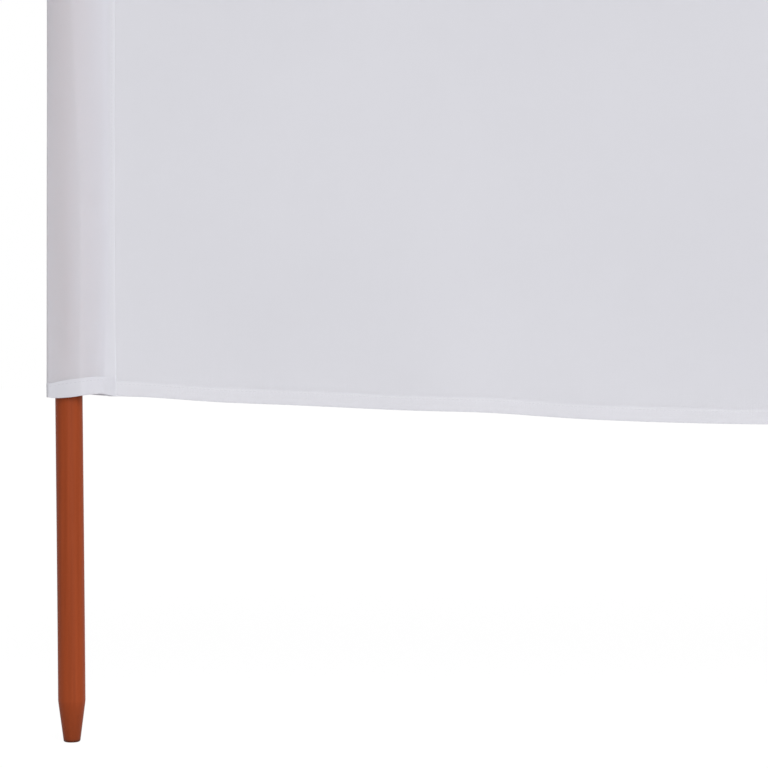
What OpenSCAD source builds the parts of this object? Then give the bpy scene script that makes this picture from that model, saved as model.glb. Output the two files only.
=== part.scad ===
// Beach windbreak: a strip of hemmed cloth with sewn pockets on round, pointed wooden poles.
// Millimetres, +Z up. The origin is on the flat tip of the middle pole, +X runs along the strip
// and the front of the cloth, where the pockets are sewn on, faces -Y.

/* [Bays] */
// Number of bays between the poles (an even number keeps a pole at the origin)
bay_count = 4; // [2:2:6]
// Distance between neighbouring poles
bay_pitch = 1300; // [900:10:1600]
// How far a panel bellies out to the front at the middle of its bay
belly = 24; // [5:1:60]
// How far a panel's lower edge hangs below the pockets
bottom_sag = 23; // [5:1:60]
// How far a panel's upper edge hangs below the pocket tops
top_sag = 30; // [5:1:60]

/* [Cloth] */
// Height of the strip at a pocket
cloth_h = 890; // [600:10:1200]
// Thickness of one layer of cloth
cloth_t = 0.8; // [0.5:0.1:1.2]
// Height of the folded hem along the upper and lower edges
hem_h = 12; // [6:1:30]
// Layers of cloth that a folded hem adds behind the edge
hem_layers = 2; // [1:1:3]

/* [Poles] */
// Diameter of a pole
pole_d = 22; // [18:0.5:28]
// Length of pole below the cloth, which goes into the sand
stake_l = 278; // [150:1:400]
// Length of pole above the cloth, which takes the mallet
head_l = 32; // [15:1:80]
// Length of the turned taper at the lower end
tip_l = 33; // [20:1:60]
// Diameter of the flat on the lower end, before its edge is rounded
tip_d = 13.2; // [8:0.1:16]
// Rounding of the edge round the lower end
tip_round = 1.5; // [0.5:0.1:3]
// Rounding of the edge round the upper end
head_round = 3; // [1:0.5:6]

/* [Pockets] */
// Clearance between a pole and the cloth of its pocket
pole_gap = 0.3; // [0.2:0.1:1]
// From a pole's axis to the stitching that closes its pocket
seam_reach = 30; // [24:1:45]
// Width of the turned-under edge that is sewn flat on the panel
tab_w = 7; // [4:1:14]
// Room in an end pocket between the pole and the folded end of the strip
end_slack = 8.4; // [4:0.1:15]
// Inside radius of the fold at the end of the strip
end_fold_r = 8.5; // [6:0.5:9]

/* [Hidden] */
pole_count = bay_count + 1;
pole_r = pole_d / 2;
pole_l = stake_l + cloth_h + head_l;
tip_r = tip_d / 2;
cloth_top = stake_l + cloth_h;
hem_t = hem_layers * cloth_t;
// A turned-under edge is two layers thick
tab_t = 2 * cloth_t;
panel_w = bay_pitch - 2 * seam_reach;
free_w = panel_w - 2 * tab_w;
// Radius of the hollow of a pocket where it passes round the pole
hollow_r = pole_r + pole_gap;
// Where the two layers of a pocket come together, short of its stitching
hollow_end = seam_reach - 2 * cloth_t;
// From an end pole's axis to the axis of the fold at the end of the strip
fold_x = hollow_r + end_slack - end_fold_r;
// Stations along a bay, and steps along a round stretch of cloth or timber
bay_steps = 24;
arc_steps = 12;
corner_steps = 6;
// Room past the cloth for the sheets that cut a panel's outline
cut_room = 10;

cloth_colour = [0.86, 0.86, 0.88];
pole_colour = [0.60, 0.27, 0.16];

POLES = [for (i = [1 : pole_count]) str("pole_", i)];
POCKETS = [for (i = [1 : pole_count]) str("pocket_", i)];
PANELS = [for (i = [1 : bay_count]) str("panel_", i)];
TOP_HEMS = [for (i = [1 : bay_count]) str("top_hem_", i)];
BOTTOM_HEMS = [for (i = [1 : bay_count]) str("bottom_hem_", i)];

function pole_x(i) = (i - (pole_count + 1) / 2) * bay_pitch;
function bay_x(i) = (pole_x(i) + pole_x(i + 1)) / 2;
function reverse(list) = [for (i = [len(list) - 1 : -1 : 0]) list[i]];
function arc(x, y, r, from, to, steps) =
    [for (i = [0 : steps]) let (a = from + (to - from) * i / steps) [x + r * cos(a), y + r * sin(a)]];

// A pole is one turned profile: a flat tip with a rounded edge, a taper, a straight shank and a
// rounded head.
function taper_angle() = atan2(pole_r - tip_r, tip_l);
function tip_corner_x() = tip_r - tip_round * (1 - sin(taper_angle())) / cos(taper_angle());
function pole_profile() = concat(
    [[0, 0]],
    arc(tip_corner_x(), tip_round, tip_round, -90, -taper_angle(), corner_steps),
    [[pole_r, tip_l]],
    arc(pole_r - head_round, pole_l - head_round, head_round, 0, 90, corner_steps),
    [[0, pole_l]]);

module pole() {
    color(pole_colour)
        rotate_extrude($fn = 64) polygon(pole_profile());
}

// Plan of a pocket, seen from above with the pole at the origin. An outline wraps the pole at radius r
// and runs straight to the ends of each list of seam points, which go from the front to the back.
function touch_angle(r, p) = atan2(p.y, p.x) + acos(r / norm(p));
function back_angle(r, seam) = touch_angle(r, seam[len(seam) - 1]);
function front_angle(r, seam) = touch_angle(r, [seam[0].x, -seam[0].y]);
function mirrored(seam) = reverse([for (p = seam) [-p.x, p.y]]);
function mid_outline(r, seam) = let (a = back_angle(r, seam), b = front_angle(r, seam)) concat(
    seam,
    arc(0, 0, r, a, 180 - a, arc_steps),
    mirrored(seam),
    arc(0, 0, r, 180 + b, 360 - b, arc_steps));

// The same at the end of the strip, where the cloth is folded back round a circle of radius fold_r.
function fold_angle(r, fold_r) = acos((fold_r - r) / fold_x);
function end_outline(r, seam, fold_r) = let (c = fold_angle(r, fold_r)) concat(
    seam,
    arc(0, 0, r, back_angle(r, seam), c, arc_steps),
    arc(-fold_x, 0, fold_r, c, 360 - c, 2 * arc_steps),
    arc(0, 0, r, 360 - c, 360 - front_angle(r, seam), arc_steps));

// Seam points of the cloth, grown by extra for the hem: the front layer ends in a turned-under edge
// that lies on the front of the panel, and the back layer ends where the panel begins.
function cloth_seam(extra) = let (front = -cloth_t / 2 - tab_t - extra, back = cloth_t / 2 + extra) [
    [seam_reach, front],
    [seam_reach + tab_w, front],
    [seam_reach + tab_w, -cloth_t / 2],
    [seam_reach, -cloth_t / 2],
    [seam_reach, back]];
function hollow_seam() = [[hollow_end, -cloth_t / 2]];

function mid_outside(extra) = mid_outline(hollow_r + cloth_t + extra, cloth_seam(extra));
function end_outside(extra) =
    end_outline(hollow_r + cloth_t + extra, cloth_seam(extra), end_fold_r + cloth_t + extra);

// A pocket is a sleeve of cloth with a hem round both mouths.
module sleeve(outside, hem_outside, hollow) {
    color(cloth_colour)
        difference() {
            union() {
                linear_extrude(cloth_h) polygon(outside);
                linear_extrude(hem_h) polygon(hem_outside);
                translate([0, 0, cloth_h - hem_h]) linear_extrude(hem_h) polygon(hem_outside);
            }
            translate([0, 0, -cut_room]) linear_extrude(cloth_h + 2 * cut_room) polygon(hollow);
        }
}

module mid_pocket() {
    sleeve(mid_outside(0), mid_outside(hem_t), mid_outline(hollow_r, hollow_seam()));
}

module end_pocket() {
    sleeve(end_outside(0), end_outside(hem_t), end_outline(hollow_r, hollow_seam(), end_fold_r));
}

module pocket(i) {
    if (i == 1) end_pocket();
    else if (i == pole_count) mirror([1, 0, 0]) end_pocket();
    else mid_pocket();
}

// A panel lies flat under the pocket edges sewn on it. Between them it bellies and sags freely.
function station(i) = -free_w / 2 + free_w * i / bay_steps;
function across(i) = 2 * i / bay_steps - 1;
function belly_at(i) = -belly * (1 - across(i) ^ 2);
function sag_at(i) = ((1 - across(i) ^ 2) + (1 + cos(180 * across(i))) / 2) / 2;

function plan_line(y) = concat(
    [[-panel_w / 2, y]],
    [for (i = [0 : bay_steps]) [station(i), belly_at(i) + y]],
    [[panel_w / 2, y]]);
function edge_line(z, sag) = concat(
    [[-panel_w / 2, z]],
    [for (i = [0 : bay_steps]) [station(i), z - sag * sag_at(i)]],
    [[panel_w / 2, z]]);

// A stretch of cloth between two lines seen from above and two lines seen from the front.
module bay_sheet(front, back, lower, upper) {
    intersection() {
        translate([0, 0, stake_l - bottom_sag - cut_room])
            linear_extrude(cloth_h + bottom_sag + 2 * cut_room)
                polygon(concat(front, reverse(back)));
        translate([0, cut_room + hem_t, 0]) rotate([90, 0, 0])
            linear_extrude(belly + 2 * cut_room + 2 * hem_t)
                polygon(concat(lower, reverse(upper)));
    }
}

module panel() {
    color(cloth_colour)
        bay_sheet(plan_line(-cloth_t / 2), plan_line(cloth_t / 2),
            edge_line(stake_l, bottom_sag), edge_line(cloth_top, top_sag));
}

// A hem is the edge of the cloth folded up behind the panel.
module hem(lower, upper) {
    color(cloth_colour)
        bay_sheet(plan_line(cloth_t / 2), plan_line(cloth_t / 2 + hem_t), lower, upper);
}

module top_hem() {
    hem(edge_line(cloth_top - hem_h, top_sag), edge_line(cloth_top, top_sag));
}

module bottom_hem() {
    hem(edge_line(stake_l, bottom_sag), edge_line(stake_l + hem_h, bottom_sag));
}

for (i = [1 : pole_count]) {
    translate([pole_x(i), 0, 0]) pole();
    translate([pole_x(i), 0, stake_l]) pocket(i);
}
for (i = [1 : bay_count]) {
    translate([bay_x(i), 0, 0]) panel();
    translate([bay_x(i), 0, 0]) top_hem();
    translate([bay_x(i), 0, 0]) bottom_hem();
}
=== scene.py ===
"""Looks of a beach windbreak: a strip of sewn white canvas on stained wooden poles.

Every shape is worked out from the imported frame, in metres. The front of the cloth faces -Y.
"""

from collections import namedtuple
import math

import bpy
import numpy as np
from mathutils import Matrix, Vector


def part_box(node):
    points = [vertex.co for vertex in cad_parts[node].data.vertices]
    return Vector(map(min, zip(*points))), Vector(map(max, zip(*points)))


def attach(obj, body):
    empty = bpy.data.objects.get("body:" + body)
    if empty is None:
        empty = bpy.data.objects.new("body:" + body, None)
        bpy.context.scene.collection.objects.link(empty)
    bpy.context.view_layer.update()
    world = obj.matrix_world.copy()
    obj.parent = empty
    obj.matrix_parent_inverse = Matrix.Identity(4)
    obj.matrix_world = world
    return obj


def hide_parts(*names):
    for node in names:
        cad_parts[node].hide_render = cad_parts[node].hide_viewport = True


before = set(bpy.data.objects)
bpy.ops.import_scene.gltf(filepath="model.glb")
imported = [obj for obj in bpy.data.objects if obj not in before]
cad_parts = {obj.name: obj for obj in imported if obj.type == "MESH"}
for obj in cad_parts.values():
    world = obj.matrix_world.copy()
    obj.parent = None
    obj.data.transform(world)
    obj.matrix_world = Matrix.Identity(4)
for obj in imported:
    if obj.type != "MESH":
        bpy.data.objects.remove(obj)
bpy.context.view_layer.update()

MM = 0.001


def node_box(name):
    """Lowest and highest corner of a CAD node."""
    low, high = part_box(name)
    return np.array(low), np.array(high)


# Sizes read from the frame
POLE_COUNT = sum(name.startswith("pole_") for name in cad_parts)
BAY_COUNT = POLE_COUNT - 1
POLE_LOW, POLE_HIGH = node_box("pole_1")
POLE_R = (POLE_HIGH[0] - POLE_LOW[0]) / 2
POLE_L = POLE_HIGH[2] - POLE_LOW[2]
POCKET_LOW, POCKET_HIGH = node_box("pocket_1")
CLOTH_BOTTOM = POCKET_LOW[2]
CLOTH_TOP = POCKET_HIGH[2]
PANEL_LOW = node_box("panel_1")[0]
BOTTOM_SAG = CLOTH_BOTTOM - PANEL_LOW[2]
HEM_H = node_box("bottom_hem_1")[1][2] - CLOTH_BOTTOM
TOP_SAG = CLOTH_TOP - HEM_H - node_box("top_hem_1")[0][2]
BELLY = -PANEL_LOW[1]
SEAM_REACH = PANEL_LOW[0] - POLE_LOW[0] - POLE_R
TAB_W = POCKET_HIGH[0] - PANEL_LOW[0]

# Sizes of the turned poles, the same as in the part's source
TIP_L = 33 * MM
TIP_R = 6.6 * MM
TIP_ROUND = 1.5 * MM
HEAD_ROUND = 3 * MM
# A pole is warped a little: its greatest bow, and the power that puts it somewhat above the pole's middle
MOST_BOW = 1.5 * MM
BOW_LIFT = 1.25
# The first pole's bow along the strip, and how far its ends are off its axis, as the photo shows them
FIRST_BOW = -5.2 * MM
FIRST_SHIFT = 0.6 * MM

# Sizes of the cloth: layers that lie on each other are one layer apart, and a hem folds in two of them
CLOTH_T = 0.24 * MM
LAYER = 0.27 * MM
FOLD_R = LAYER
TURN_R = LAYER / 2
# The edge turned under on the panel is puffed up by its turn, and is narrower away from the mouths
TAB_TURN_R = LAYER
TAB_FRONT = 3 * LAYER
TAB_NARROWING = 1.9 * MM
NARROWING_REACH = 40 * MM
# Stacked shares of a pocket's own hems, which are folded loosely, and of its tabs, and how far the hems
# are pressed flat on the tabs
POCKET_HEM_SHARE = 0.4
TAB_SHARE = 0.9
PRESSED_HEM = 0.7
# Clearance between a pole and the cloth round it, and the radius of the middle of that cloth
POLE_GAP = 0.3 * MM
SLEEVE_R = POLE_R + POLE_GAP + CLOTH_T / 2
# Half the width over which a layered edge begins to show
EDGE_BLUR = 0.2 * MM
# How finely the cloth is divided: columns of a panel and of its hems, and steps up between two hems
PANEL_COLUMNS = 150
HEM_COLUMNS = 220
FREE_STEPS = 72

# Crease at the end of the strip: how far it reaches past the pole's axis, its radius and its place in depth
END_REACH = 18.17 * MM
CREASE_R = 1.1 * MM
CREASE_Y = -8 * MM
# How far the crease wanders in depth along the height of the cloth
CREASE_SWAY = 0.9 * MM
# The crease is drawn in under the hems, so that it looks straight over their thickness
HEM_TUCK = 0.5 * MM
# The loose front of an end pocket runs from its crease over a nose beside the pole. Listed by the
# distance from the nearer mouth in millimetres: how far the nose is from the pole's axis towards the panel
# and in front of it, in millimetres, and the angle at which the front leaves the crease, in degrees from
# square on
NOSE_PLACES = [(0, 10), (60, 11), (150, 12.5), (205, 11), (260, 7.5), (310, 6)]
NOSE_DEPTHS = [(0, 12.8), (60, 13.1), (150, 13.6), (205, 13.2), (260, 12.6), (310, 12.3)]
LEAVE_ANGLES = [(0, 11), (60, 12), (150, 17), (205, 20), (260, 25), (310, 28)]
# How far the cloth beside an end pocket's seam lies flat, in millimetres, by the same distance
PRESSED_FLAT = [(0, 1.6), (25, 1.3), (70, 0.2), (100, 0)]
# How slowly the cloth bends from the nose to the straight stretch beside it, by the same distance
NOSE_PULLS = [(0, 0.8), (60, 0.7), (150, 0.6)]
# The cloth stays on a pole this many degrees past the place where a straight line to its seam would leave it
PAST_TOUCH = 17

# How far the flap of a pocket stands off the pole at its mouths, and how soon it comes back to it
MOUTH_FLARE = 1.5 * MM
FLARE_REACH = 25 * MM
# A pocket's cloth stands a little off its plan and ripples by a share of that, and lies flat near its ends
SOFT_DEPTH = 0.25 * MM
RIPPLE_SHARE = 0.35
FLAT_AT_START = 12 * MM
FLAT_AT_END = 24 * MM

# Lines of a pocket's lower end, in millimetres: places across from the pole's axis, and at each
# the heights of the flap's edge and of the back layer's edge above the pocket's foot, and the hem's height
PocketEdge = namedtuple("PocketEdge", "flap back hem")
END_EDGE = PocketEdge(
    flap=[(-18, 0.9), (-15, 0.2), (-11, 0), (-2, 0.4), (5, 1.1), (10, 2), (13, 2.45), (16, 2.75),
          (19, 3.05), (22, 3.3), (25, 3.3), (28, 2.85), (31, 2.15), (34, 1.7), (37, 1.5)],
    back=[(-18, 0.5), (-8, 1.2), (10, 2.9), (15, 2.7), (18, 2.5), (20, 2.35), (23, 2.1), (30, 1.7)],
    hem=[(-18, 11), (-11, 12.5), (-2, 13.3), (10, 14), (19, 13.9), (25, 13.8), (28, 14.2), (31, 15),
         (34, 15.8), (37, 16.1)])
MID_EDGE = PocketEdge(
    flap=[(-37, 0.7), (-22, 1.3), (-3, -0.2), (19, 1.5), (37, 0.7)],
    back=[(-30, 0.6), (-12, 1.6), (12, 1.4), (30, 0.6)],
    hem=[(-37, 12), (37, 12)])

# Depths of the gentle shapes of a panel: broad swells, flutter with its reach up from the lower edge, and
# folds from the upper corners
SWELL = 1.3 * MM
FLUTTER = 0.7 * MM
FLUTTER_REACH = 120 * MM
CORNER_FOLD = 3.2 * MM
# How far a panel's lower edge is lifted at its seams
EDGE_LIFT = 0.6 * MM
# Waves of a panel's lower edge, each as its place from -1 to 1 across the bay, its half width and height:
# the first bay's, as the photo shows them, and one where the last bay meets the end pocket
FIRST_EDGE_WAVES = [(-0.965, 0.066, 1.05 * MM), (-0.86, 0.07, -0.62 * MM), (-0.51, 0.085, 1.7 * MM),
                    (-0.08, 0.13, 0.8 * MM), (0.45, 0.1, 1.1 * MM)]
LAST_EDGE_WAVE = (1, 0.12, 0.9 * MM)

# Pucker of a hem along its stitching: how far it goes up and down, and the length of its waves
PUCKER = 0.12 * MM
PUCKER_L = 5.5 * MM * 2 * math.pi

# Sizes of the stitching
STITCH_PITCH = 3.4 * MM
STITCH_L = 2.7 * MM
STITCH_W = 0.4 * MM
STITCH_H = 0.2 * MM
STITCH_INSET = 2.2 * MM


def pole_x(number):
    """Where the axis of a pole's tip stands along the strip."""
    low, high = node_box(f"pole_{number}")
    return (low[0] + high[0]) / 2


def smooth_step(start, end, value):
    """0 before start and 1 after end, with a smooth rise between them."""
    t = np.clip((value - start) / (end - start), 0, 1)
    return t * t * (3 - 2 * t)


def bumps(value, places):
    """Sum of smooth bumps, each given as its place, its half width and its height."""
    return sum(height * np.exp(-((value - place) / width) ** 2) for place, width, height in places)


def through(points, value):
    """A smooth line through points, read at a value and held level beyond its ends."""
    place, height = np.array(points, dtype=float).T
    slope = np.gradient(height, place)
    value = np.clip(value, place[0], place[-1])
    i = np.clip(np.searchsorted(place, value) - 1, 0, len(place) - 2)
    gap = place[i + 1] - place[i]
    t = (value - place[i]) / gap
    start = height[i] * (1 + 2 * t) + slope[i] * gap * t
    end = height[i + 1] * (3 - 2 * t) - slope[i + 1] * gap * (1 - t)
    return start * (1 - t) ** 2 + end * t ** 2


def ripples(seed, count, shortest, longest):
    """A function of two lengths that undulates gently about 0, the same on every run."""
    rng = np.random.default_rng(seed)
    direction = rng.uniform(0, math.pi, count)
    number = 2 * math.pi / rng.uniform(shortest, longest, count)
    phase = rng.uniform(0, 2 * math.pi, count)

    def height(a, b):
        """Height at two lengths."""
        total = 0
        for i in range(count):
            along = a * math.cos(direction[i]) + b * math.sin(direction[i])
            total = total + np.cos(number[i] * along + phase[i])
        return total / math.sqrt(count)

    return height


# Meshes

# A mesh as arrays: its points, the corners of its faces in a row, how many corners each face has, and for
# each point its place on the flat cloth and how far it lies layer on layer, from 0 to 1
Shape = namedtuple("Shape", "points corners sizes flat stacked")


def shape_of(points, faces, flat=None, stacked=None):
    """A shape from its points and from groups of faces, in each of which all have as many corners."""
    count = len(points)
    corners = np.concatenate([group.ravel() for group in faces])
    sizes = np.concatenate([np.full(len(group), group.shape[1]) for group in faces])
    flat = np.zeros((count, 2)) if flat is None else flat
    stacked = np.zeros(count) if stacked is None else stacked
    return Shape(points, corners, sizes, flat, stacked)


def joined(shapes):
    """Several shapes as one."""
    starts = np.cumsum([0] + [len(shape.points) for shape in shapes[:-1]])
    moved = [shape._replace(corners=shape.corners + start) for shape, start in zip(shapes, starts)]
    return Shape(*(np.concatenate(arrays) for arrays in zip(*moved)))


def grid_faces(rows, cols):
    """Quads of a grid of points that are numbered along its rows."""
    index = np.arange(rows * cols).reshape(rows, cols)
    return np.stack([index[:-1, :-1], index[:-1, 1:], index[1:, 1:], index[1:, :-1]], -1).reshape(-1, 4)


def grid_normals(grid):
    """Unit normals of a grid of points."""
    along = np.gradient(grid, axis=1)
    upward = np.gradient(grid, axis=0)
    normal = np.cross(along, upward)
    return normal / np.linalg.norm(normal, axis=-1, keepdims=True)


def grid_lengths(grid):
    """Distances along the rows and columns of a grid, which are the cloth's own two directions."""
    steps_along = np.linalg.norm(np.diff(grid, axis=1), axis=-1).mean(axis=0)
    steps_up = np.linalg.norm(np.diff(grid, axis=0), axis=-1).mean(axis=1)
    along = np.concatenate([[0], np.cumsum(steps_along)])
    upward = np.concatenate([[0], np.cumsum(steps_up)])
    return np.stack(np.meshgrid(along, upward), -1)


def sheet(grid, stacked):
    """A closed sheet of cloth about a grid of points; stacked is a number for it all or for each point."""
    rows, cols = grid.shape[:2]
    count = rows * cols
    offset = grid_normals(grid) * CLOTH_T / 2
    points = np.concatenate([(grid + offset).reshape(-1, 3), (grid - offset).reshape(-1, 3)])
    outside = grid_faces(rows, cols)
    inside = outside[:, ::-1] + count
    index = np.arange(count).reshape(rows, cols)
    rim = np.concatenate([index[0, :-1], index[:-1, -1], index[-1, :0:-1], index[:0:-1, 0]])
    after = np.roll(rim, -1)
    edge = np.stack([after, rim, rim + count, after + count], -1)
    flat = np.tile(grid_lengths(grid).reshape(-1, 2), (2, 1))
    shares = np.tile(np.broadcast_to(stacked, (rows, cols)).ravel(), 2)
    return shape_of(points, [outside, inside, edge], flat, shares)


def add_piece(name, shape, material):
    """A smooth-shaded object with sharp rims that rides on the only body."""
    mesh = bpy.data.meshes.new(name)
    mesh.vertices.add(len(shape.points))
    mesh.vertices.foreach_set("co", shape.points.astype(np.float32).ravel())
    mesh.loops.add(len(shape.corners))
    mesh.loops.foreach_set("vertex_index", shape.corners.astype(np.int32))
    mesh.polygons.add(len(shape.sizes))
    starts = np.cumsum(shape.sizes) - shape.sizes
    mesh.polygons.foreach_set("loop_start", starts.astype(np.int32))
    mesh.update(calc_edges=True)
    mesh.validate()
    flat = mesh.uv_layers.new(name="cloth")
    flat.data.foreach_set("uv", shape.flat[shape.corners].astype(np.float32).ravel())
    stacked = mesh.attributes.new("stacked", "FLOAT", "POINT")
    stacked.data.foreach_set("value", shape.stacked.astype(np.float32))
    mesh.shade_smooth()
    mesh.set_sharp_from_angle(angle=math.radians(42))
    mesh.materials.append(material)
    piece = bpy.data.objects.new(name, mesh)
    bpy.context.collection.objects.link(piece)
    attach(piece, "root")
    return piece


# Materials


def new_tree(name):
    """A material with an empty node tree."""
    material = bpy.data.materials.new(name)
    material.use_nodes = True
    material.node_tree.nodes.clear()
    return material, material.node_tree


def add_node(tree, kind, inputs=None, **settings):
    """A shader node; each input is a value, or an output to link it to."""
    node = tree.nodes.new(kind)
    for key, value in settings.items():
        setattr(node, key, value)
    for key, value in (inputs or {}).items():
        if isinstance(value, bpy.types.NodeSocket):
            tree.links.new(value, node.inputs[key])
        else:
            node.inputs[key].default_value = value
    return node


def math_node(tree, operation, a, b=0.0):
    """Output of a Math node."""
    return add_node(tree, "ShaderNodeMath", {0: a, 1: b}, operation=operation).outputs[0]


def stretched_noise(tree, vector, scale, detail=2.0):
    """Noise whose grains have the given numbers for each metre along each axis."""
    mapped = add_node(tree, "ShaderNodeMapping", {"Vector": vector, "Scale": scale})
    inputs = {"Vector": mapped.outputs[0], "Scale": 1.0, "Detail": detail}
    return add_node(tree, "ShaderNodeTexNoise", inputs).outputs["Fac"]


def blended(tree, factor, a, b):
    """Output of a colour mix from a to b."""
    node = add_node(tree, "ShaderNodeMix", {0: factor, 6: a, 7: b}, data_type="RGBA")
    return node.outputs[2]


def ranged(tree, value, low, high, to_low=0.0, to_high=1.0):
    """A value taken from one range to another, and held within it."""
    inputs = {"Value": value, "From Min": low, "From Max": high, "To Min": to_low, "To Max": to_high}
    return add_node(tree, "ShaderNodeMapRange", inputs).outputs[0]


def bumped(tree, height, distance, strength):
    """Normal of a surface raised by a height."""
    inputs = {"Height": height, "Distance": distance, "Strength": strength}
    return add_node(tree, "ShaderNodeBump", inputs).outputs[0]


def woven_threads(tree, cloth):
    """Heights of a plain weave and of the slubs in its threads, by the place on the flat cloth."""
    thread_pitch = 0.5 * MM
    turn = 2 * math.pi / thread_pitch
    split = add_node(tree, "ShaderNodeSeparateXYZ", {0: cloth})
    warp = math_node(tree, "SINE", math_node(tree, "MULTIPLY", split.outputs[0], turn))
    weft = math_node(tree, "SINE", math_node(tree, "MULTIPLY", split.outputs[1], turn))
    weave = math_node(tree, "MULTIPLY", warp, weft)
    slub_along = stretched_noise(tree, cloth, (25, 1100, 1))
    slub_up = stretched_noise(tree, cloth, (1100, 25, 1))
    return weave, math_node(tree, "ADD", slub_along, slub_up)


def canvas_material():
    """Plain woven white canvas with slubs and a faint mottle. Layers of it let less light through."""
    pale = (0.88, 0.878, 0.922, 1)
    dull = (0.85, 0.848, 0.892, 1)
    light_through = (0.965, 0.965, 0.985, 1)
    single_share = 0.57
    layered_share = 0.305
    material, tree = new_tree("white_canvas")
    cloth = add_node(tree, "ShaderNodeUVMap", uv_map="cloth").outputs[0]
    place = add_node(tree, "ShaderNodeTexCoord").outputs["Object"]
    weave, slubs = woven_threads(tree, cloth)
    mottle = stretched_noise(tree, place, (5, 5, 5), 3.0)
    slub_shade = ranged(tree, slubs, 0.7, 1.3, 0, 0.4)
    mottle_shade = ranged(tree, mottle, 0.35, 0.65, 0, 0.6)
    colour = blended(tree, math_node(tree, "ADD", slub_shade, mottle_shade), pale, dull)
    height = math_node(tree, "ADD", math_node(tree, "MULTIPLY", weave, 0.5), slubs)
    bump = bumped(tree, height, 0.08 * MM, 0.5)
    surface = add_node(tree, "ShaderNodeBsdfPrincipled", {
        "Base Color": colour, "Roughness": 0.85, "Specular IOR Level": 0.2, "Sheen Weight": 0.05,
        "Sheen Roughness": 0.5, "Normal": bump})
    through_cloth = add_node(tree, "ShaderNodeBsdfTranslucent", {"Color": light_through, "Normal": bump})
    layers = add_node(tree, "ShaderNodeAttribute", attribute_name="stacked").outputs["Fac"]
    share = ranged(tree, layers, 0, 1, single_share, layered_share)
    mix = add_node(tree, "ShaderNodeMixShader",
                   {0: share, 1: surface.outputs[0], 2: through_cloth.outputs[0]})
    add_node(tree, "ShaderNodeOutputMaterial", {"Surface": mix.outputs[0]})
    return material


def thread_material():
    """White sewing thread with a twist along it."""
    dull = (0.76, 0.76, 0.80, 1)
    pale = (0.82, 0.82, 0.86, 1)
    material, tree = new_tree("white_thread")
    place = add_node(tree, "ShaderNodeTexCoord").outputs["Object"]
    twist = stretched_noise(tree, place, (2500, 2500, 2500))
    colour = blended(tree, ranged(tree, twist, 0.3, 0.7), dull, pale)
    bump = bumped(tree, twist, 0.05 * MM, 0.4)
    surface = add_node(tree, "ShaderNodeBsdfPrincipled", {
        "Base Color": colour, "Roughness": 0.6, "Specular IOR Level": 0.3, "Normal": bump})
    add_node(tree, "ShaderNodeOutputMaterial", {"Surface": surface.outputs[0]})
    return material


# Colours of the stained wood: light and dark grain, its pores, the soaked tip, and where it is cut across.
# The cut-across colour is also used as painted shade on the lowest part of the foot
LIGHT_GRAIN = (0.304, 0.054, 0.0135, 1)
DARK_GRAIN = (0.225, 0.038, 0.0085, 1)
PORE = (0.15, 0.026, 0.007, 1)
SOAKED = (0.15, 0.027, 0.0065, 1)
END_GRAIN_AND_FOOT_SHADE = (0.06, 0.014, 0.0065, 1)


def lengthwise_wood(tree, place, grain, streak):
    """Colour of the wood along its grain, with blotches and pores."""
    blotch = stretched_noise(tree, place, (30, 30, 9), 2.0)
    grain_tone = ranged(tree, grain, 0.35, 0.68, 0, 0.6)
    blotch_tone = ranged(tree, blotch, 0.35, 0.7, 0, 0.4)
    tone = math_node(tree, "ADD", grain_tone, blotch_tone)
    colour = blended(tree, tone, LIGHT_GRAIN, DARK_GRAIN)
    return blended(tree, ranged(tree, streak, 0.62, 0.78, 0, 0.5), colour, PORE)


def cut_wood(tree, place, colour):
    """The colour darkened where the wood is cut aslant or across and where the tip soaked up more stain,
    with painted shade in end-grain colour over the lowest few millimetres of the foot.
    """
    foot_shade_start = 1.4 * MM
    foot_shade_end = 2.4 * MM
    normal = add_node(tree, "ShaderNodeNewGeometry").outputs["Normal"]
    facing = add_node(tree, "ShaderNodeSeparateXYZ", {0: normal}).outputs[2]
    slant = math_node(tree, "ABSOLUTE", facing)
    colour = blended(tree, ranged(tree, slant, 0.06, 0.13, 0, 0.45), colour, DARK_GRAIN)
    up = add_node(tree, "ShaderNodeSeparateXYZ", {0: place}).outputs[2]
    colour = blended(tree, ranged(tree, up, 0, TIP_L, 0.5, 0), colour, SOAKED)
    rings = stretched_noise(tree, place, (500, 500, 500), 4.0)
    end_grain_and_foot_shade = blended(tree, ranged(tree, rings, 0.3, 0.7, 0, 0.4), END_GRAIN_AND_FOOT_SHADE, DARK_GRAIN)
    # Painted shade: the lowest millimetres of the rounded foot, which face the floor, are darkened to
    # end-grain colour by height alone
    rim = ranged(tree, up, foot_shade_start, foot_shade_end, 0.9, 0)
    crosscut_and_foot_shade = math_node(tree, "MAXIMUM", ranged(tree, slant, 0.16, 0.36), rim)
    return blended(tree, crosscut_and_foot_shade, colour, end_grain_and_foot_shade)


def wood_material():
    """Softwood with a red-brown satin stain."""
    material, tree = new_tree("stained_wood")
    place = add_node(tree, "ShaderNodeTexCoord").outputs["Object"]
    grain = stretched_noise(tree, place, (260, 260, 5), 4.0)
    streak = stretched_noise(tree, place, (900, 900, 14), 3.0)
    colour = cut_wood(tree, place, lengthwise_wood(tree, place, grain, streak))
    rough = ranged(tree, streak, 0.3, 0.75, 0.42, 0.56)
    height = math_node(tree, "ADD", streak, math_node(tree, "MULTIPLY", grain, 0.6))
    bump = bumped(tree, height, 0.1 * MM, 0.3)
    surface = add_node(tree, "ShaderNodeBsdfPrincipled", {
        "Base Color": colour, "Roughness": rough, "Specular IOR Level": 0.12, "Normal": bump})
    add_node(tree, "ShaderNodeOutputMaterial", {"Surface": surface.outputs[0]})
    return material


CANVAS = canvas_material()
THREAD = thread_material()
WOOD = wood_material()


# Poles


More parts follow.
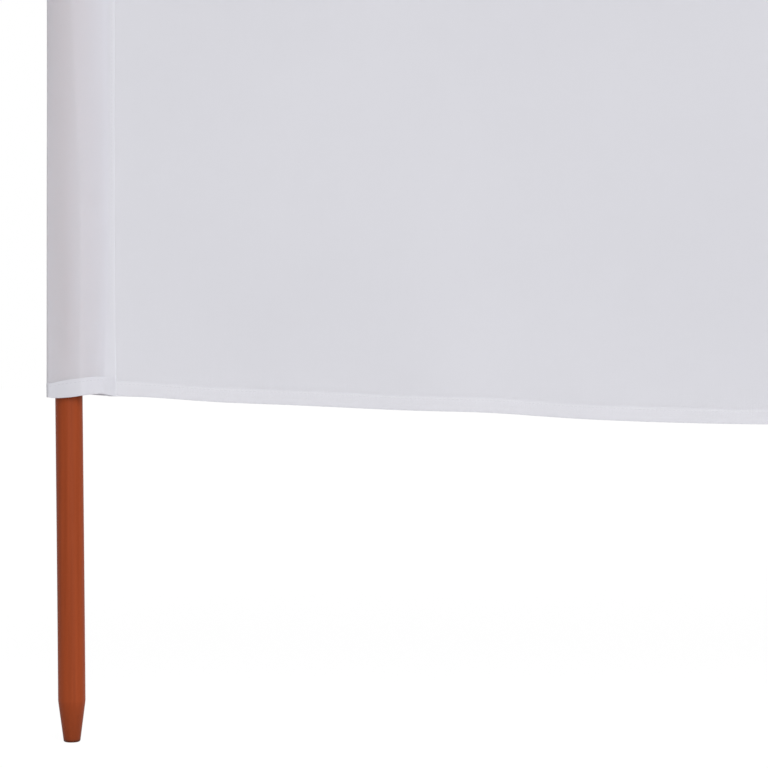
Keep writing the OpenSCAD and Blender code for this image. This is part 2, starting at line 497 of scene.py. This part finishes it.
def pole_bow(number, z):
    """How far a warped pole's axis is off its straight line at height z, along X and Y."""
    rng = np.random.default_rng(number)
    reach = rng.uniform(-MOST_BOW, MOST_BOW, 2)
    ends = 0.0
    if number == 1:
        reach = (FIRST_BOW, 0.0)
        ends = FIRST_SHIFT
    bend = np.sin(math.pi * (np.asarray(z) / POLE_L) ** BOW_LIFT)
    return ends + reach[0] * bend, reach[1] * bend


def arc_points(x, y, radius, start, end, steps):
    """Points on an arc, with its angles in degrees."""
    angle = np.radians(np.linspace(start, end, steps))
    return np.stack([x + radius * np.cos(angle), y + radius * np.sin(angle)], -1)


def pole_profile():
    """Radius and height up a pole: rounded tip, taper, softened shoulder, shank and rounded head."""
    slope = math.atan2(POLE_R - TIP_R, TIP_L)
    corner = TIP_R - TIP_ROUND * (1 - math.sin(slope)) / math.cos(slope)
    tip = arc_points(corner, TIP_ROUND, TIP_ROUND, -90, -math.degrees(slope), 7)
    taper = np.linspace(tip[-1], (POLE_R, TIP_L), 9)[1:-1]
    below, above, inward = 0.6 * MM, 0.9 * MM, 0.12 * MM
    shoulder = np.array([[POLE_R - inward, TIP_L - below], [POLE_R, TIP_L + above]])
    shank_z = np.linspace(TIP_L + 8 * MM, POLE_L - HEAD_ROUND - 2 * MM, 48)
    shank = np.stack([np.full_like(shank_z, POLE_R), shank_z], -1)
    head = arc_points(POLE_R - HEAD_ROUND, POLE_L - HEAD_ROUND, HEAD_ROUND, 0, 90, 8)
    return np.concatenate([tip, taper, shoulder, shank, head])


def build_pole(number):
    """One turned pole, slightly warped."""
    sides = 56
    profile = pole_profile()
    rows = len(profile)
    angle = np.linspace(0, 2 * math.pi, sides, endpoint=False)
    radius, z = profile[:, :1], profile[:, 1:]
    bow_x, bow_y = pole_bow(number, z)
    x = pole_x(number) + bow_x + radius * np.cos(angle)
    y = bow_y + radius * np.sin(angle)
    rings = np.stack([x, y, np.broadcast_to(z, x.shape)], -1)
    points = np.concatenate([rings.reshape(-1, 3), rings[[0, -1]].mean(axis=1)])
    index = np.arange(rows * sides).reshape(rows, sides)
    beside = np.roll(index, -1, axis=1)
    side_faces = np.stack([index[:-1], beside[:-1], beside[1:], index[1:]], -1).reshape(-1, 4)
    tip_centre, head_centre = np.full(sides, rows * sides), np.full(sides, rows * sides + 1)
    tip_fan = np.stack([beside[0], index[0], tip_centre], -1)
    head_fan = np.stack([index[-1], beside[-1], head_centre], -1)
    shape = shape_of(points, [side_faces, tip_fan, head_fan])
    piece = add_piece(f"wooden_pole_{number}", shape, WOOD)
    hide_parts(f"pole_{number}")


# Stitching


def stitch_row(path, outward):
    """A row of stitches along a path of points that lie on the cloth."""
    length = np.concatenate([[0], np.cumsum(np.linalg.norm(np.diff(path, axis=0), axis=1))])
    place = np.arange(STITCH_PITCH / 2, length[-1], STITCH_PITCH)

    def read(values, at):
        """Values along the path, read at lengths along it."""
        return np.stack([np.interp(at, length, values[:, i]) for i in range(3)], -1)

    centre, normal = read(path, place), read(outward, place)
    along = read(path, place + MM) - read(path, place - MM)
    along = along / np.linalg.norm(along, axis=1, keepdims=True)
    side = np.cross(along, normal)
    corners = [centre - along * STITCH_L / 2]
    for step in (-STITCH_L / 4, STITCH_L / 4):
        for across, up in ((1, 0), (0, 1), (-1, 0), (0, -1)):
            ring = side * across * STITCH_W / 2 + normal * up * STITCH_H / 2
            corners.append(centre + along * step + ring)
    corners.append(centre + along * STITCH_L / 2)
    near, far = [1, 2, 3, 4], [5, 6, 7, 8]
    turn = [(i, (i + 1) % 4) for i in range(4)]
    ends = [(0, near[j], near[i]) for i, j in turn] + [(far[i], far[j], 9) for i, j in turn]
    walls = [(near[i], near[j], far[j], far[i]) for i, j in turn]
    first = 10 * np.arange(len(place))[:, None, None]
    faces = [(first + np.array(ends)).reshape(-1, 3), (first + np.array(walls)).reshape(-1, 4)]
    return shape_of(np.stack(corners, 1).reshape(-1, 3), faces)


# Edges of the cloth


def edge_rows():
    """Depth, height and stacked share up an edge of the cloth: round its fold and up its face past a hem."""
    bend = arc_points(FOLD_R, FOLD_R, FOLD_R, 0, -180, 7)
    face = [(0, 0.3 * HEM_H), (0, 0.65 * HEM_H), (0, HEM_H - EDGE_BLUR), (0, HEM_H + EDGE_BLUR)]
    rows = np.concatenate([[(2 * FOLD_R, 2 * FOLD_R)], bend, face])
    share = np.append(np.ones(len(rows) - 1), 0.0)
    return np.column_stack([rows, share])


def hem_rows():
    """Depth and height of the folded part of a hem: up its outside, over, and down inside."""
    outside, inside = 2 * FOLD_R, 2 * FOLD_R - 2 * TURN_R
    below_turn = HEM_H - 1.5 * MM
    raw_edge = 3.5 * MM
    up = [(outside, z) for z in np.linspace(2 * FOLD_R, below_turn, 5)]
    over = arc_points(outside - TURN_R, HEM_H - TURN_R, TURN_R, 0, 180, 6)
    down = [(inside, z) for z in np.linspace(below_turn, raw_edge, 3)]
    return np.concatenate([up, over, down])


def puckered(along, uneven):
    """How far a hem is pulled up and down along its stitching: even waves with an uneven part on top."""
    return PUCKER * np.sin(2 * math.pi * along / PUCKER_L) + uneven


def tab_width(z):
    """Width of the turned-under edge of a pocket at a height."""
    from_end = np.clip(np.minimum(z - CLOTH_BOTTOM, CLOTH_TOP - z), 0, None)
    return TAB_W - TAB_NARROWING * (1 - np.exp(-from_end / NARROWING_REACH))


# Panels


class Bay:
    """The cloth between two poles: its edges seen from the front, and its depth."""

    def __init__(self, number):
        low, high = node_box(f"panel_{number}")
        rng = np.random.default_rng(100 + number)
        self.left, self.right = low[0], high[0]
        self.middle = (low[0] + high[0]) / 2
        self.half_free = (high[0] - low[0]) / 2 - TAB_W
        self.swell = ripples(200 + number, 9, 220 * MM, 620 * MM)
        self.flutter = ripples(300 + number, 7, 90 * MM, 260 * MM)
        self.fold_phase = rng.uniform(0, 2 * math.pi, 2)
        self.belly_share = rng.uniform(0.85, 1.0)
        self.edge_waves = [(place, 0.1, rng.uniform(-1, 2) * MM) for place in (-0.5, 0.1, 0.6)]
        if number == 1:
            self.edge_waves = FIRST_EDGE_WAVES
        if number == BAY_COUNT:
            self.edge_waves = self.edge_waves + [LAST_EDGE_WAVE]

    def across(self, x):
        """-1 at the left seam and 1 at the right one."""
        return np.clip((x - self.middle) / self.half_free, -1, 1)

    def droop(self, x):
        """Share of the full sag."""
        u = self.across(x)
        return ((1 - u ** 2) + (1 + np.cos(math.pi * u)) / 2) / 2

    def lower(self, x):
        """Height of the lower edge."""
        lift = EDGE_LIFT + bumps(self.across(x), self.edge_waves)
        return CLOTH_BOTTOM + lift - BOTTOM_SAG * self.droop(x)

    def upper(self, x):
        """Height of the upper edge."""
        return CLOTH_TOP - TOP_SAG * self.droop(x)

    def corner_folds(self, x, z):
        """Folds that fan out from the two upper corners, where the cloth hangs from its pockets."""
        corners = ((self.left, 1, self.fold_phase[0]), (self.right, -1, self.fold_phase[1]))
        total = 0
        for corner, inward, phase in corners:
            out = np.maximum(inward * (x - corner), 0)
            down = np.maximum(CLOTH_TOP - z, 0)
            reach = np.hypot(out, down) / (0.3 * (self.half_free * 2))
            angle = np.arctan2(down, out)
            total = total + np.sin(7 * angle + phase) * reach * np.exp(-reach ** 2)
        return total

    def depth(self, x, z):
        """Y of the middle of the cloth."""
        u = self.across(x)
        height = (z - CLOTH_BOTTOM) / (CLOTH_TOP - CLOTH_BOTTOM)
        free = 1 - u ** 2
        held = smooth_step(0, 0.25, 1 - np.abs(u))
        edge = np.exp(-((z - self.lower(x)) / FLUTTER_REACH) ** 2)
        belly = -BELLY * self.belly_share * free * (1 - 0.25 * smooth_step(0.5, 1, height))
        swell = SWELL * self.swell(x, z) * held
        flutter = FLUTTER * self.flutter(x, 0.3 * z) * held * edge
        folds = CORNER_FOLD * self.corner_folds(x, z) * held
        return belly + swell + flutter + folds

    def at_lower(self, x, depth, height):
        """A point at a depth behind the cloth and a height above its lower edge."""
        z = self.lower(x) + height
        return np.stack([x, self.depth(x, z) + depth, z], -1)

    def at_upper(self, x, depth, height):
        """A point at a depth behind the cloth and a height below its upper edge."""
        z = self.upper(x) - height
        return np.stack([x, self.depth(x, z) + depth, z], -1)

    def columns(self, count):
        """Places along the bay, closer together at its ends, and the stacked share of each."""
        spread = np.linspace(-1, 1, count)
        eased = 0.75 * spread + 0.25 * np.sin(spread * math.pi / 2)
        free = self.middle + eased * (self.half_free - EDGE_BLUR)
        under_tab = np.array([0, TAB_W / 2, TAB_W - EDGE_BLUR])
        share = np.concatenate([np.ones(3), np.zeros(count), np.ones(3)])
        return np.concatenate([self.left + under_tab, free, self.right - under_tab[::-1]]), share

    def beside_tabs(self, x, z):
        """Places along the bay, moved so that a step in the stacked share stays under the tabs' edges."""
        narrowed = TAB_W - tab_width(z)
        reach = [0, TAB_W - EDGE_BLUR, TAB_W + EDGE_BLUR, TAB_W + 60 * MM]
        left, right = (np.interp(place, reach, [0, 1, 1, 0]) for place in (x - self.left, self.right - x))
        return x - narrowed * left + narrowed * right


def panel_sheet(bay):
    """The whole panel, from the fold at its lower edge to the fold at its upper one."""
    x, column_share = bay.columns(PANEL_COLUMNS)
    rows = edge_rows()
    low, high = [], []
    for depth, height, _ in rows:
        low.append(bay.at_lower(bay.beside_tabs(x, CLOTH_BOTTOM + height), depth, height))
        high.append(bay.at_upper(bay.beside_tabs(x, CLOTH_TOP - height), depth, height))
    high.reverse()
    bottom, top = low[-1][:, 2], high[0][:, 2]
    body = []
    for part in np.linspace(0, 1, FREE_STEPS)[1:-1]:
        z = bottom + (top - bottom) * part
        place = bay.beside_tabs(x, z)
        body.append(np.stack([place, bay.depth(place, z), z], -1))
    row_share = np.concatenate([rows[:, 2], np.zeros(len(body)), rows[::-1, 2]])
    return sheet(np.array(low + body + high), np.maximum(row_share[:, None], column_share))


def hem_sheet(bay, at_edge):
    """A hem behind a panel, with a slight pucker along its stitching."""
    x, _ = bay.columns(HEM_COLUMNS)
    pucker = puckered(x, 0.15 * MM * bay.flutter(3 * x, 0))
    rows = []
    for depth, height in hem_rows():
        share = height / HEM_H
        rows.append(at_edge(x, depth + 0.4 * np.abs(pucker) * share, height + pucker * share))
    return sheet(np.array(rows), 1.0)


def hem_stitches(bay, at_edge):
    """Stitching of a hem, on the front and on the back of the cloth."""
    x = np.linspace(bay.left + 2 * MM, bay.right - 2 * MM, 400)
    rows = []
    for depth, towards in ((-CLOTH_T / 2, -1.0), (2 * FOLD_R + CLOTH_T / 2, 1.0)):
        path = at_edge(x, np.full_like(x, depth), HEM_H - STITCH_INSET)
        rows.append(stitch_row(path, np.tile([0.0, towards, 0.0], (len(x), 1))))
    return rows


def build_bay(number):
    """The panel of one bay with its two hems and their stitching."""
    bay = Bay(number)
    stitching = []
    for edge, at_edge in (("bottom", bay.at_lower), ("top", bay.at_upper)):
        hem = add_piece(f"canvas_{edge}_hem_{number}", hem_sheet(bay, at_edge), CANVAS)
        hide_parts(f"{edge}_hem_{number}")
        stitching += hem_stitches(bay, at_edge)
    panel = add_piece(f"canvas_panel_{number}", panel_sheet(bay), CANVAS)
    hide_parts(f"panel_{number}")
    add_piece(f"hem_stitching_{number}", joined(stitching), THREAD)


# Pockets

# Path of a pocket's cloth seen from above: its points, how far each is on the back layer, the stacked share
# of each, and how many points at its start and at its end are turned under
Plan = namedtuple("Plan", "points behind stacked under")


def touch_angle(radius, point):
    """Angle in degrees at which a straight line from a point touches a circle about the origin."""
    reach = math.acos(radius / math.hypot(*point))
    return math.degrees(math.atan2(point[1], point[0]) + reach)


def straight(start, end, steps):
    """Points inside a straight stretch, without its ends."""
    return np.linspace(start, end, steps + 2)[1:-1]


def eased_curve(start, start_way, end, end_way, steps, pull=1.0):
    """Points on a smooth curve that leaves start and reaches end in given directions, without its start.

    A smaller pull bends it sooner at its ends and leaves it straighter between them.
    """
    t = np.linspace(0, 1, steps + 1)[1:, None]
    reach = pull * math.dist(start, end)
    leaving = start * (1 + 2 * t) + start_way * reach * t
    reaching = end * (3 - 2 * t) - end_way * reach * (1 - t)
    return leaving * (1 - t) ** 2 + reaching * t ** 2


def flank(pole, seam, side):
    """Cloth from a pole to a seam, seen from above: the angle at which it leaves the pole, and its points.

    side is (1, 1) for a seam at the front right of the pole; -1 mirrors it to the left or to the back.
    """
    side = np.array(side)
    centre, end = pole * side, seam * side
    leave = math.radians(touch_angle(SLEEVE_R, (end - centre) * (1, -1)) - PAST_TOUCH)
    start = centre + SLEEVE_R * np.array([math.cos(leave), -math.sin(leave)])
    way = np.array([math.sin(leave), math.cos(leave)])
    points = eased_curve(start, way, end, np.array([1.0, 0.0]), 12) * side
    across, deep = start * side - pole
    return math.degrees(math.atan2(deep, across)) % 360, points


def tab_front(width):
    """The part of the turned-under edge that shows on the front of the panel, seen from above."""
    x = SEAM_REACH + width * np.array([0.0, 0.3, 0.6, 0.9])
    return np.column_stack([x, np.full(len(x), -TAB_FRONT)])


def tab_under(width):
    """The turned-under edge from its turn to its hidden end."""
    inside = -TAB_FRONT + 2 * TAB_TURN_R
    turn = arc_points(SEAM_REACH + width - TAB_TURN_R, -TAB_FRONT + TAB_TURN_R, TAB_TURN_R, -90, 90, 7)
    return np.concatenate([turn, [(SEAM_REACH + width / 2, inside), (SEAM_REACH + MM, inside)]])


def tab_share(x):
    """Stacked share of the front layer, which rises towards its turned-under edge."""
    start = SEAM_REACH - 4 * MM
    full = SEAM_REACH + 5 * MM
    return TAB_SHARE * smooth_step(start, full, np.abs(x))


def heading(angle):
    """Direction of a path that turns to the left, where its normal has the given angle in degrees."""
    return np.array([-math.sin(math.radians(angle)), math.cos(math.radians(angle))])


# How the crease at an end of the strip wanders along its height
crease_wander = ripples(77, 6, 110 * MM, 380 * MM)


def end_plan(bow, z, tuck):
    """Plan of an end pocket at height z: from the panel round the back of the pole and the crease to a tab.

    bow is where the pole's axis stands and tuck is how far the crease is drawn in.
    """
    square_on = 270
    from_mouth = min(z - CLOTH_BOTTOM, CLOTH_TOP - z) / MM
    tab, under = tab_front(tab_width(z)), tab_under(tab_width(z))
    tab[0, 0] -= through(PRESSED_FLAT, from_mouth) * MM
    leave = square_on - through(LEAVE_ANGLES, from_mouth)
    pole = np.array(bow)
    nose = pole + np.array([through(NOSE_PLACES, from_mouth), -through(NOSE_DEPTHS, from_mouth)]) * MM
    crease = np.array([-END_REACH + tuck + CREASE_R, CREASE_Y + CREASE_SWAY * crease_wander(z, 0)])
    gap = crease - pole
    towards = math.degrees(math.atan2(gap[1], gap[0])) % 360
    spread = math.degrees(math.acos((SLEEVE_R - CREASE_R) / math.hypot(*gap)))
    back_angle, back = flank(pole, np.array([SEAM_REACH, 0.0]), (1, -1))
    over_back = arc_points(*pole, SLEEVE_R, back_angle, towards - spread, 10)
    bend = arc_points(*crease, CREASE_R, towards - spread, leave, 10)
    to_nose = eased_curve(bend[-1], heading(leave), nose, heading(square_on), 16)
    nose_pull = through(NOSE_PULLS, from_mouth)
    to_tab = eased_curve(nose, heading(square_on), tab[0], heading(square_on), 18, nose_pull)
    behind = np.concatenate([back[::-1], over_back, straight(over_back[-1], bend[0], 5)])
    before = np.concatenate([to_nose, to_tab, tab[1:]])
    points = np.concatenate([behind, bend, before, under])
    in_front = np.zeros(len(before) + len(under))
    weight = np.concatenate([np.ones(len(behind)), np.linspace(1, 0, len(bend)), in_front])
    return Plan(points, weight, tab_share(points[:, 0]) * (1 - weight), (0, len(under)))


def mid_back_plan(bow, *_):
    """Plan of the back layer of a pocket between two bays."""
    pole = np.array(bow)
    right_angle, right = flank(pole, np.array([SEAM_REACH, 0.0]), (1, -1))
    left_angle, left = flank(pole, np.array([-SEAM_REACH, 0.0]), (-1, -1))
    over = arc_points(*pole, SLEEVE_R, right_angle, left_angle, 12)
    points = np.concatenate([right[::-1], over, left])
    return Plan(points, np.ones(len(points)), np.zeros(len(points)), (0, 0))


def mid_front_plan(bow, z, _):
    """Plan of the front layer of a pocket between two bays, with a tab on each side."""
    pole = np.array(bow)
    mirror = np.array([-1, 1])
    tab, under = tab_front(tab_width(z)), tab_under(tab_width(z))
    left_angle, left = flank(pole, tab[0] * mirror, (-1, 1))
    right_angle, right = flank(pole, tab[0], (1, 1))
    over = arc_points(*pole, SLEEVE_R, left_angle, right_angle, 12)
    left_tab = np.concatenate([tab[1:], under])[::-1] * mirror
    points = np.concatenate([left_tab, left[::-1], over, right, tab[1:], under])
    return Plan(points, np.zeros(len(points)), tab_share(points[:, 0]), (len(under), len(under)))


def plan_normals(path):
    """Unit normals of a path seen from above, towards the outside of the pocket."""
    step = np.gradient(path, axis=0)
    normal = np.stack([step[:, 1], -step[:, 0]], -1)
    return normal / np.linalg.norm(normal, axis=1, keepdims=True)


def hem_tuck(height):
    """How far the crease of an end pocket is drawn in at a height from an edge."""
    return HEM_TUCK if np.mean(height) < HEM_H + EDGE_BLUR / 2 else 0.0


def free_parts():
    """Shares of the height between a pocket's hems, closer together near the mouths."""
    spread = np.linspace(-1, 1, FREE_STEPS)[1:-1]
    return (1 + 0.6 * spread + 0.4 * np.sin(spread * math.pi / 2)) / 2


class Sleeve:
    """One layer of a pocket: cloth that follows its plan round the pole at every height."""

    def __init__(self, number, plan_at, edge, flip=1):
        self.number = number
        self.plan_at = plan_at
        self.flip = flip
        self.ripple = ripples(500 + number, 8, 45 * MM, 160 * MM)
        foot = self.plan(CLOTH_BOTTOM)
        across = foot.points[:, 0] / MM
        lift = foot.behind * through(edge.back, across) + (1 - foot.behind) * through(edge.flap, across)
        hem = foot.behind * HEM_H + (1 - foot.behind) * through(edge.hem, across) * MM
        self.lower = CLOTH_BOTTOM + lift * MM
        self.stretch = hem / HEM_H
        self.stacked = self.plan((CLOTH_BOTTOM + CLOTH_TOP) / 2).stacked
        self.puff = 1 - PRESSED_HEM * foot.stacked
        along = np.concatenate([[0], np.cumsum(np.linalg.norm(np.diff(foot.points, axis=0), axis=1))])
        self.girth = along[-1]
        self.pucker = puckered(along, 0.2 * MM * self.ripple(3 * along, 0))
        self.hem_columns = slice(foot.under[0], len(foot.points) - foot.under[1])

    def plan(self, z, tuck=0.0):
        """The plan at a height, with its crease drawn in by tuck."""
        x, y = pole_bow(self.number, z)
        return self.plan_at((self.flip * float(x), float(y)), z, tuck)

    def row(self, z, depth=0.0, tuck=0.0):
        """Points at heights z, one for each point of the plan, and at a depth outside the cloth."""
        path = self.plan(np.mean(z), tuck).points
        normal = plan_normals(path)
        along = np.concatenate([[0], np.cumsum(np.linalg.norm(np.diff(path, axis=0), axis=1))])
        loose = smooth_step(0, FLAT_AT_START, along) * smooth_step(0, FLAT_AT_END, along[-1] - along)
        soft = SOFT_DEPTH * (1 + RIPPLE_SHARE * self.ripple(along, 0.5 * z))
        from_end = np.minimum(z - CLOTH_BOTTOM, CLOTH_TOP - z)
        facing_front = np.maximum(-normal[:, 1], 0)
        flare = MOUTH_FLARE * np.exp(-from_end / FLARE_REACH) * facing_front ** 6
        place = path + normal * (depth + (soft + flare) * loose)[:, None]
        return np.stack([pole_x(self.number) + self.flip * place[:, 0], place[:, 1], z], -1)

    def at_lower(self, depth, height):
        """A row at a depth outside the cloth and a height above its lower edge."""
        return self.row(self.lower + height * self.stretch, depth * self.puff, hem_tuck(height))

    def at_upper(self, depth, height):
        """A row at a depth outside the cloth and a height below its upper edge."""
        level = np.full_like(self.lower, CLOTH_TOP - height)
        return self.row(level, depth * self.puff, hem_tuck(height))

    def body(self):
        """The layer from its lower fold to its upper one."""
        rows = edge_rows()
        low = [self.at_lower(depth, height) for depth, height, _ in rows]
        high = [self.at_upper(depth, height) for depth, height, _ in rows[::-1]]
        bottom, top = low[-1][:, 2], high[0][:, 2]
        free = [self.row(bottom + (top - bottom) * part) for part in free_parts()]
        row_share = POCKET_HEM_SHARE * np.concatenate([rows[:, 2], np.zeros(len(free)), rows[::-1, 2]])
        return sheet(np.array(low + free + high), np.maximum(row_share[:, None], self.stacked))

    def hem_row(self, at_edge, depth, height):
        """A row of a hem, puckered more and more towards its stitching."""
        pucker = self.pucker * height / HEM_H
        return at_edge(depth + 0.5 * np.abs(pucker), height + pucker)[self.hem_columns]

    def hems(self):
        """The hems folded out round the lower and the upper mouth."""
        grids = [np.array([self.hem_row(at_edge, depth, height) for depth, height in hem_rows()])
                 for at_edge in (self.at_lower, self.at_upper)]
        return [sheet(grid, POCKET_HEM_SHARE) for grid in grids]

    def stitches(self):
        """Stitching round both hems, on their outside."""
        plan = plan_normals(self.plan(CLOTH_BOTTOM).points) * (self.flip, 1)
        outward = np.column_stack([plan, np.zeros(len(plan))])[self.hem_columns]
        depth, height = 2 * FOLD_R + CLOTH_T / 2, HEM_H - STITCH_INSET
        paths = [self.hem_row(at_edge, depth, height) for at_edge in (self.at_lower, self.at_upper)]
        return [stitch_row(path, outward) for path in paths]


def tab_stitches(number, side):
    """Stitching of a pocket's turned-under edge, on the front and on the back of the panel."""
    z = np.linspace(CLOTH_BOTTOM + 5 * MM, CLOTH_TOP - 2 * MM, 300)
    x = pole_x(number) + side * (SEAM_REACH + tab_width(z) - STITCH_INSET)
    rows = []
    for y, towards in ((-TAB_FRONT - CLOTH_T / 2, -1.0), (CLOTH_T / 2, 1.0)):
        path = np.stack([x, np.full_like(z, y), z], -1)
        rows.append(stitch_row(path, np.tile([0.0, towards, 0.0], (len(z), 1))))
    return rows


def build_pocket(number):
    """One pocket with its hems and stitching."""
    at_left, at_right = number == 1, number == POLE_COUNT
    if at_left or at_right:
        sleeves = [Sleeve(number, end_plan, END_EDGE, -1 if at_right else 1)]
    else:
        sleeves = [Sleeve(number, plan_at, MID_EDGE) for plan_at in (mid_back_plan, mid_front_plan)]
    sheets, rows = [], []
    for sleeve in sleeves:
        sheets += [sleeve.body()] + sleeve.hems()
        rows += sleeve.stitches()
    if not at_right:
        rows += tab_stitches(number, 1)
    if not at_left:
        rows += tab_stitches(number, -1)
    pocket = add_piece(f"canvas_pocket_{number}", joined(sheets), CANVAS)
    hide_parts(f"pocket_{number}")
    add_piece(f"pocket_stitching_{number}", joined(rows), THREAD)


# Studio


def seen_directly(tree):
    """1 for what the camera sees, also in a reflection or through something clear, and 0 for the light."""
    path = add_node(tree, "ShaderNodeLightPath")
    seen = math_node(tree, "MAXIMUM", path.outputs["Is Camera Ray"], path.outputs["Is Glossy Ray"])
    seen = math_node(tree, "MAXIMUM", seen, path.outputs["Is Transmission Ray"])
    return math_node(tree, "SUBTRACT", seen, path.outputs["Is Diffuse Ray"])


def floor_material():
    """Pale floor: white to the camera, with a soft trace of the shadow on it."""
    shadow_share = 0.1
    white_strength = 1.06
    material, tree = new_tree("pale_floor")
    matt = add_node(tree, "ShaderNodeBsdfDiffuse", {"Color": (0.85, 0.85, 0.85, 1)})
    white = add_node(tree, "ShaderNodeEmission", {"Color": (1, 1, 1, 1), "Strength": white_strength})
    shown = add_node(tree, "ShaderNodeMixShader",
                     {0: shadow_share, 1: white.outputs[0], 2: matt.outputs[0]})
    final = add_node(tree, "ShaderNodeMixShader",
                     {0: seen_directly(tree), 1: matt.outputs[0], 2: shown.outputs[0]})
    add_node(tree, "ShaderNodeOutputMaterial", {"Surface": final.outputs[0]})
    return material


def build_floor():
    """A wide plain floor."""
    half = 120.0
    corners = [(-half, -half, 0), (half, -half, 0), (half, half, 0), (-half, half, 0)]
    mesh = bpy.data.meshes.new("floor")
    mesh.from_pydata(corners, [], [(0, 1, 2, 3)])
    mesh.materials.append(floor_material())
    floor = bpy.data.objects.new("floor", mesh)
    bpy.context.collection.objects.link(floor)


def build_light():
    """Soft key light from the front right, in a plain white room."""
    room_light = 0.42
    sun = bpy.data.lights.new("key", "SUN")
    sun.energy = 2.14
    sun.angle = math.radians(50)
    key = bpy.data.objects.new("key", sun)
    key.rotation_euler = (math.radians(60), 0, math.radians(26))
    bpy.context.collection.objects.link(key)
    world = bpy.data.worlds.new("room")
    world.use_nodes = True
    world.node_tree.nodes.clear()
    strength = ranged(world.node_tree, seen_directly(world.node_tree), 0, 1, room_light, 1.0)
    room = add_node(world.node_tree, "ShaderNodeBackground", {"Color": (1, 1, 1, 1), "Strength": strength})
    add_node(world.node_tree, "ShaderNodeOutputWorld", {"Surface": room.outputs[0]})
    bpy.context.scene.world = world


def build_camera():
    """The photograph's view: level, square to the strip, close to the foot of its left end."""
    image_px = 768
    tip_px = (71.3, 741.5)
    pixel = 0.809 * MM
    lens = 100.0
    camera = bpy.data.cameras.new("camera")
    camera.lens = lens
    distance = image_px * pixel * lens / camera.sensor_width
    viewer = bpy.data.objects.new("camera", camera)
    across = pole_x(1) + (image_px / 2 - tip_px[0]) * pixel
    up = (tip_px[1] - image_px / 2) * pixel
    viewer.location = (across, -distance, up)
    viewer.rotation_euler = (math.pi / 2, 0, 0)
    bpy.context.collection.objects.link(viewer)
    bpy.context.scene.camera = viewer


build_camera()
build_light()
build_floor()
for pole_number in range(1, POLE_COUNT + 1):
    build_pole(pole_number)
    build_pocket(pole_number)
for bay_number in range(1, BAY_COUNT + 1):
    build_bay(bay_number)

bpy.context.scene.view_settings.view_transform = "Standard"
